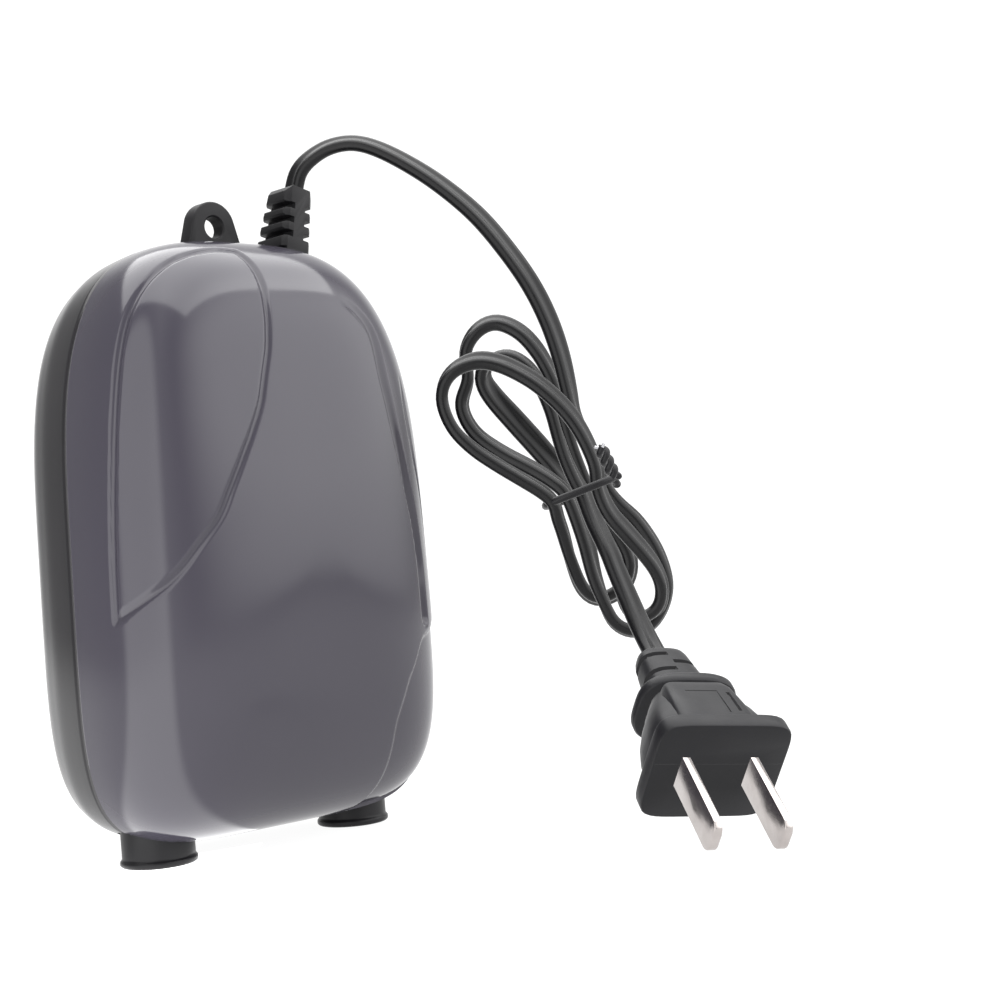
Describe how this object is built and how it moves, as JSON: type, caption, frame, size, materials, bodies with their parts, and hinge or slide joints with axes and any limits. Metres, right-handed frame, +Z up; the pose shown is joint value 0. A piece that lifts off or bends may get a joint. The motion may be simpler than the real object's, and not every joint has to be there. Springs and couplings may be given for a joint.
{
  "type": "aquarium air pump",
  "caption": "Domed aquarium air pump with paired outlets, hanging lug, rubber feet and a short flat lead tied in a hank, ending in a two-blade plug.",
  "frame": {"origin": "On the floor under the middle of the pump, which stands upright on its outlet collars; the lead, hank and plug are left out of the middle.", "axes": "+X across the pump, +Y toward the rubber feet with the domed cover facing -Y, +Z up along the body from the outlets to the hanging lug."},
  "size_m": [0.1038, 0.1384, 0.1407],
  "materials": {
    "cover_plastic": "high-gloss grey moulded plastic",
    "base_plastic": "gloss black moulded plastic",
    "satin_black": "satin black plastic",
    "rubber": "soft black rubber",
    "cord_pvc": "flexible black PVC",
    "plug_pvc": "moulded black PVC",
    "brass": "bright stamped brass",
    "steel": "plain steel",
    "copper": "enamelled copper wire",
    "nylon": "natural nylon",
    "felt": "white filter felt"
  },
  "bodies": {
    "pump": {"top_cover": "cover_plastic", "base_shell": "base_plastic", "hanging_lug": "rubber", "cord_gland": "rubber", "rubber_foot_1": "rubber", "rubber_foot_2": "rubber", "rubber_foot_3": "rubber", "rubber_foot_4": "rubber", "case_screw_1": "steel", "case_screw_2": "steel", "case_screw_3": "steel", "case_screw_4": "steel", "outlet_collar_left": "satin_black", "outlet_collar_right": "satin_black", "outlet_nozzle_left": "nylon", "outlet_nozzle_right": "nylon", "intake_filter": "felt", "core_laminations": "steel", "coil_bobbin": "nylon", "coil_winding": "copper", "core_screw_left": "steel", "core_screw_right": "steel", "pivot_pin_left": "steel", "pivot_pin_right": "steel", "bellows_left": "rubber", "bellows_right": "rubber", "air_chamber_left": "nylon", "air_chamber_right": "nylon", "valve_cover_left": "nylon", "valve_cover_right": "nylon", "air_hose_left": "rubber", "air_hose_right": "rubber", "lead_wire_live": "cord_pvc", "lead_wire_neutral": "cord_pvc", "cord_lead": "cord_pvc", "cord_hank": "cord_pvc", "cord_tail": "cord_pvc", "cord_tie": "satin_black", "plug_body": "plug_pvc", "plug_blade_left": "brass", "plug_blade_right": "brass"},
    "arm_left": {"swing_arm_left": "nylon", "arm_magnet_left": "steel", "bellows_disc_left": "nylon"},
    "arm_right": {"swing_arm_right": "nylon", "arm_magnet_right": "steel", "bellows_disc_right": "nylon"},
    "inlet_valve_left": {"inlet_flap_left": "rubber"},
    "inlet_valve_right": {"inlet_flap_right": "rubber"},
    "outlet_valve_left": {"outlet_flap_left": "rubber"},
    "outlet_valve_right": {"outlet_flap_right": "rubber"}
  },
  "joints": [
    {"name": "arm_left_swing", "type": "hinge", "parent": "pump", "child": "arm_left", "pos_m": [-0.0115, -0.0005, 0.027], "axis": [0, 1, 0], "range_deg": [-2, 2], "stiffness_Nm_per_rad": 0.08, "deforming": ["bellows_left"]},
    {"name": "arm_right_swing", "type": "hinge", "parent": "pump", "child": "arm_right", "pos_m": [0.0115, -0.0005, 0.027], "axis": [0, 1, 0], "range_deg": [-2, 2], "stiffness_Nm_per_rad": 0.08, "deforming": ["bellows_right"]},
    {"name": "inlet_left_flap", "type": "hinge", "parent": "pump", "child": "inlet_valve_left", "pos_m": [-0.0265, -0.0005, 0.0432], "axis": [0, 1, 0], "range_deg": [-10, 0], "stiffness_Nm_per_rad": 0.0002},
    {"name": "inlet_right_flap", "type": "hinge", "parent": "pump", "child": "inlet_valve_right", "pos_m": [0.0265, -0.0005, 0.0432], "axis": [0, 1, 0], "range_deg": [0, 10], "stiffness_Nm_per_rad": 0.0002},
    {"name": "outlet_left_flap", "type": "hinge", "parent": "pump", "child": "outlet_valve_left", "pos_m": [-0.0305, -0.0005, 0.0512], "axis": [0, 1, 0], "range_deg": [0, 10], "stiffness_Nm_per_rad": 0.0002},
    {"name": "outlet_right_flap", "type": "hinge", "parent": "pump", "child": "outlet_valve_right", "pos_m": [0.0305, -0.0005, 0.0512], "axis": [0, 1, 0], "range_deg": [-10, 0], "stiffness_Nm_per_rad": 0.0002}
  ]
}
